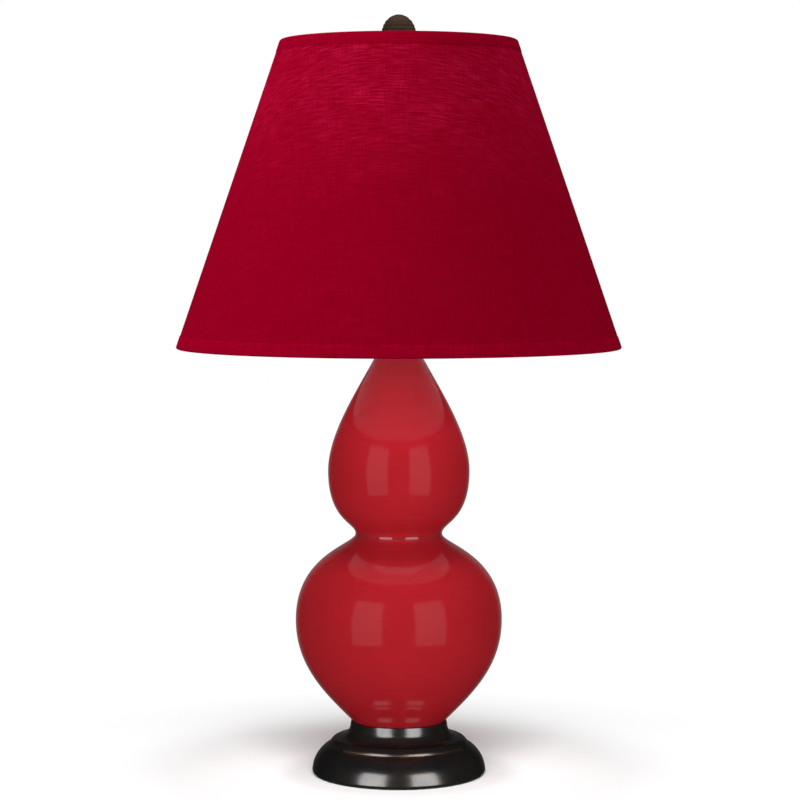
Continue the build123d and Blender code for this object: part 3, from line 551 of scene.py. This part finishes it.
lowEdge = shadeSizes["bottom"][1] + shadeSizes["edgeGap"]
highEdge = shadeSizes["top"][1] - shadeSizes["edgeGap"]
clothStrip = coneStrip(lowEdge, highEdge, shadeSizes["clothDepth"], shadeSizes["clothThick"], 24)
clothMesh = spun(clothStrip, largeTurn)
setUv(clothMesh, flatCloth)
shadeCloth = addPiece("shadeCloth", clothMesh, cloth, "shade", ["shade_fabric"], sharp=60)

linerStrip = coneStrip(lowEdge, highEdge, shadeSizes["linerDepth"], shadeSizes["linerThick"], 6)
linerMesh = spun(linerStrip, largeTurn)
shadeLiner = addPiece("shadeLiner", linerMesh, styrene, "shade", ["shade_liner"], sharp=60)


hemSizes = {
    "top": 9.0, "bottom": 9.5, "thick": 0.3, "lipDepth": 0.15, "lipHeight": 0.5,
    "fold": 1.6, "foldBow": 0.47, "inside": 5.95, "insideThick": 0.5, "turnIn": 7.0,
    "edge": 0.8, "cornerOuter": 1.2, "cornerInner": 1.0,
}


def hemOutline(s, edge, way, tall):
    # tape folded over the edge and turned in behind the ring; way is 1 at the top edge
    far, turned = edge - way * tall, edge - way * s["turnIn"]
    folded, inner = edge - way * s["fold"], edge - way * s["edge"]
    lip, back = far + way * s["lipHeight"], s["inside"] + s["insideThick"]
    outline = [(coneRadius(far, s["lipDepth"]), far), (coneRadius(lip), lip)]
    outline += arcPoints((coneRadius(folded), folded), (coneRadius(edge, s["fold"]), edge),
                         way * s["foldBow"], 6)
    outline += arcPoints((coneRadius(edge, back - s["fold"]), edge), (coneRadius(folded, back), folded),
                         way * s["foldBow"], 6)
    outline += [
        (coneRadius(turned, back), turned), (coneRadius(turned, s["inside"]), turned),
        (coneRadius(folded, s["inside"]), folded),
        (coneRadius(inner, s["inside"] - s["cornerInner"]), inner),
        (coneRadius(inner, s["cornerOuter"]), inner),
        (coneRadius(folded, s["thick"]), folded), (coneRadius(far, s["thick"]), far),
    ]
    return scaled(outline[::way])


hems = []
for end, way in (("top", 1), ("bottom", -1)):
    hemMesh = spun(hemOutline(hemSizes, shadeSizes[end][1], way, hemSizes[end]), largeTurn)
    setUv(hemMesh, flatCloth)
    hems.append(addPiece(f"{end}Hem", hemMesh, paintedLighterHemCloth, "shade", [f"shade_{end}_hem"],
                         sharp=60))


# the cloth laps over itself in one folded seam down the back
seamSizes = {"width": 9.0, "outerDepth": 0.02, "innerDepth": 0.4, "rows": 24}


def seamBar(s):
    # a bar of even width between the hems, laid on the cone
    bm = bmesh.new()
    bmesh.ops.create_cube(bm, size=1.0)
    upright = [edge for edge in bm.edges if abs(edge.verts[0].co.z - edge.verts[1].co.z) > 0.5]
    bmesh.ops.subdivide_edges(bm, edges=upright, cuts=s["rows"] - 1, use_grid_fill=True)
    low = shadeSizes["bottom"][1] + hemSizes["bottom"]
    high = shadeSizes["top"][1] - hemSizes["top"]
    for vert in bm.verts:
        height = low + (high - low) * (vert.co.z + 0.5)
        radius = coneRadius(height, s["outerDepth"] if vert.co.y < 0 else s["innerDepth"])
        angle = vert.co.x * s["width"] / radius
        vert.co = (radius * mm * math.sin(angle), radius * mm * math.cos(angle), height * mm)
    bmesh.ops.recalc_face_normals(bm, faces=bm.faces)
    setUv(bm, flatCloth)
    return bm


seam = addPiece("backSeam", seamBar(seamSizes), cloth, "shade", sharp=60)


# heights above the finial's own bottom
finialSizes = {
    "bottom": 535.25, "foot": (6.6, 2.0), "footEdge": 0.5, "neck": (4.9, 8.5), "bow": 1.1,
    "widest": (12.6, 16.0), "crown": 15.0, "button": 4.3, "buttonBow": 0.35,
    "ribs": 5, "ribBow": 0.42, "bore": (3.27, 13.4),
}


def finialOutline(s):
    widest, level = s["widest"]
    outline = [(s["foot"][0] - s["footEdge"], 0.0), (s["foot"][0], s["footEdge"]), s["foot"]]
    outline += arcPoints(s["foot"], s["neck"], -s["bow"], 8)[1:]
    outline += arcPoints(s["neck"], s["widest"], s["bow"], 10)[1:-1]
    rise = math.sqrt(1 - (s["button"] / widest) ** 2)
    steps = [step / s["ribs"] * rise for step in range(s["ribs"] + 1)]
    spots = [(widest * math.sqrt(1 - step ** 2), level + s["crown"] * step) for step in steps]
    for low, high in zip(spots, spots[1:]):
        outline += arcPoints(low, high, s["ribBow"], 6)
    outline += arcPoints(spots[-1], (0, level + s["crown"]), s["buttonBow"], 6)[1:]
    outline += [(0, s["bore"][1]), s["bore"], (s["bore"][0], 0.0)]
    return scaled([(x, z + s["bottom"]) for x, z in outline])


finialMesh = spun(finialOutline(finialSizes), smallTurn)
finial = addPiece("ribbedFinial", finialMesh, finialBronze, "finial",
                  ["finial_base", "finial_knob"], sharp=30)
print("finial turned")


# The studio, in metres. Glossy surfaces see a dim room that turns bright behind the lamp.
studio = {
    "camera": (0.0009, -1.850, 0.4035), "aim": (0.0009, 0.0, 0.2808), "lens": 111.77, "sensor": 36.0,
    "tableRadius": 6.0, "tableColour": "#f4f4f4", "tableBounce": "#909090",
    "shadowFrom": 0.1, "shadowTo": 0.35, "lightHeight": 0.283, "boxSize": (0.86, 1.34),
    "roomBehind": 0.07, "roomFront": 0.11, "glossRoom": 0.02, "glossBehind": 0.16,
    "behindFrom": 0.8, "behindTo": 0.98,
}


def makeFloor():
    # pale table top that keeps the lamp's shadow and turns white away from it; what it throws back is
    # toned down, because the photograph was lit from the front only
    bm = bmesh.new()
    bmesh.ops.create_circle(bm, cap_ends=True, segments=96, radius=studio["tableRadius"])
    mesh = bpy.data.meshes.new("tableTop")
    bm.to_mesh(mesh)
    bm.free()
    material, tree, shader = newMaterial("paleTable")
    spot = addNode(tree, "ShaderNodeTexCoord").outputs["Object"]
    reach = addNode(tree, "ShaderNodeVectorMath", links={0: spot}, operation="LENGTH")
    far = addNode(tree, "ShaderNodeMapRange",
                  {"From Min": studio["shadowFrom"], "From Max": studio["shadowTo"]},
                  {"Value": reach.outputs["Value"]}, interpolation_type="SMOOTHSTEP")
    seen = addNode(tree, "ShaderNodeLightPath").outputs["Is Camera Ray"]
    tone = addNode(tree, "ShaderNodeMix",
                   {6: linear(studio["tableBounce"]), 7: linear(studio["tableColour"])},
                   {0: seen}, data_type="RGBA")
    feed(tree, shader, {"Roughness": 0.9, "Specular IOR Level": 0.0}, {"Base Color": tone.outputs[2]})
    fade = addNode(tree, "ShaderNodeMath", links={0: far.outputs[0], 1: seen}, operation="MULTIPLY")
    white = addNode(tree, "ShaderNodeEmission")
    both = addNode(tree, "ShaderNodeMixShader",
                   links={0: fade.outputs[0], 1: shader.outputs[0], 2: white.outputs[0]})
    feed(tree, tree.nodes["Material Output"], links={"Surface": both.outputs[0]})
    mesh.materials.append(material)
    table = bpy.data.objects.new("tableTop", mesh)
    table.visible_glossy = False
    table.visible_shadow = False
    bpy.context.scene.collection.objects.link(table)
    return table


floor = makeFloor()
shadeCover = [shadeCloth, seam, *hems]

# Soft panels stand round the lamp: turns in degrees from the front, then the distance. The matt ones
# give the level; the mirror ones are their images in the glaze, the bronze and the other metal, each
# a little further off so that none hides another.
panels = [
    {"name": "frontBox", "turns": (-35, 35), "distance": 1.35, "radiance": 3.15,
     "matt": True, "skip": shadeCover},
    {"name": "shadeBox", "turns": (-52, 52), "distance": 1.45, "radiance": 2.8,
     "matt": True, "only": shadeCover},
    {"name": "glazeGloss", "turns": (-35, 35), "distance": 1.37, "radiance": 0.45,
     "mirror": True, "only": [gourd]},
    {"name": "bronzeGloss", "turns": (-35, 35), "distance": 1.39, "radiance": 21.0, "mirror": True,
     "only": [foot], "tint": (0.93, 0.97, 1.0)},
    {"name": "metalGloss", "turns": (-35, 35), "distance": 1.41, "radiance": 2.2, "mirror": True,
     "skip": [gourd, foot, finial, floor, *shadeCover]},
    {"name": "rimBox", "turns": (-150, 150), "distance": 1.5, "size": (0.5, 1.2), "radiance": 7.0,
     "matt": True, "only": [gourd]},
    {"name": "backBox", "turns": (180,), "distance": 1.6, "size": (0.9, 1.3), "radiance": 3.5,
     "matt": True, "skip": [floor]},
]
lamps = [
    {"name": "key", "place": (-0.75, -0.42, 1.02), "aim": (0, 0, 0.46), "size": (0.5, 0.5), "radiance": 6.4,
     "matt": True, "only": shadeCover},
    {"name": "top", "place": (0, 0, 1.5), "aim": (0, 0, 0), "size": (0.3, 0.3), "radiance": 27.0,
     "matt": True},
    {"name": "within", "place": (0, 0, 0.01), "aim": (0, 0, 1.0), "size": (0.9, 0.9), "radiance": 0.42,
     "matt": True, "only": [shadeLiner]},
    {"name": "lining", "place": (0, 0, 0.47), "aim": (0, 0, 0), "size": (0.24, 0.24), "radiance": 0.45,
     "matt": True, "mirror": True, "only": [gourd], "tint": (0.9, 0.8, 1.0)},
    {"name": "table", "place": (0, -1.6, 1.5), "aim": (0, 0, 0), "size": (1.2, 0.8), "radiance": 16.0,
     "matt": True, "only": [floor]},
]


def areaLight(name, place, aim, radiance, size=studio["boxSize"], matt=False, mirror=False,
              only=(), skip=(), tint=(1, 1, 1)):
    # a soft panel that shows in matt shading, as a mirror image or both, on some or all pieces
    data = bpy.data.lights.new(name, "AREA")
    data.shape = "RECTANGLE"
    data.size, data.size_y = size
    data.energy = math.pi * size[0] * size[1] * radiance
    data.color = tint
    light = bpy.data.objects.new(name, data)
    light.location = place
    light.rotation_euler = (Vector(aim) - Vector(place)).to_track_quat("-Z", "Y").to_euler()
    light.visible_camera = False
    light.visible_diffuse = matt
    light.visible_glossy = mirror
    bpy.context.scene.collection.objects.link(light)
    if only or skip:
        group = bpy.data.collections.new(name)
        for piece in only or skip:
            group.objects.link(piece)
        for entry in group.collection_objects:
            entry.light_linking.link_state = "INCLUDE" if only else "EXCLUDE"
        light.light_linking.receiver_collection = group


for panel in panels:
    name, turns, reach = panel.pop("name"), panel.pop("turns"), panel.pop("distance")
    for turn in turns:
        angle, level = math.radians(turn), studio["lightHeight"]
        place = (reach * math.sin(angle), -reach * math.cos(angle), level)
        areaLight(f"{name}{turn}", place, (0, 0, level), **panel)
for lamp in lamps:
    areaLight(**lamp)


def makeWorld():
    # white where the camera looks past the lamp; gloss sees that white behind the lamp and a
    # dim room in front, and matt surfaces get an even level
    world = bpy.data.worlds.new("studioRoom")
    world.use_nodes = True
    tree = world.node_tree
    way = addNode(tree, "ShaderNodeTexCoord").outputs["Generated"]
    depth = addNode(tree, "ShaderNodeSeparateXYZ", links={0: way}).outputs["Y"]
    ray = addNode(tree, "ShaderNodeLightPath")
    gloss = addNode(tree, "ShaderNodeMapRange",
                    {"From Min": studio["behindFrom"], "From Max": studio["behindTo"],
                     "To Min": studio["glossRoom"], "To Max": studio["glossBehind"]},
                    {"Value": depth}, interpolation_type="SMOOTHSTEP")
    room = addNode(tree, "ShaderNodeMapRange",
                   {"From Min": 1.0, "From Max": -1.0,
                    "To Min": studio["roomBehind"], "To Max": studio["roomFront"]},
                   {"Value": depth})
    level = addNode(tree, "ShaderNodeMix",
                    links={"Factor": ray.outputs["Is Glossy Ray"], 2: room.outputs[0], 3: gloss.outputs[0]})
    seen = addNode(tree, "ShaderNodeMath", operation="MAXIMUM",
                   links={0: ray.outputs["Is Camera Ray"], 1: ray.outputs["Is Transmission Ray"]})
    strength = addNode(tree, "ShaderNodeMix", {3: 1.0}, {"Factor": seen.outputs[0], 2: level.outputs[0]})
    feed(tree, tree.nodes["Background"], {"Color": (1, 1, 1, 1)}, {"Strength": strength.outputs[0]})
    bpy.context.scene.world = world


makeWorld()

cameraData = bpy.data.cameras.new("camera")
cameraData.lens = studio["lens"]
cameraData.sensor_width = studio["sensor"]
camera = bpy.data.objects.new("camera", cameraData)
camera.location = studio["camera"]
sight = Vector(studio["aim"]) - Vector(studio["camera"])
camera.rotation_euler = sight.to_track_quat("-Z", "Y").to_euler()
bpy.context.scene.collection.objects.link(camera)
bpy.context.scene.camera = camera
bpy.context.scene.view_settings.view_transform = "Standard"
print("studio set")
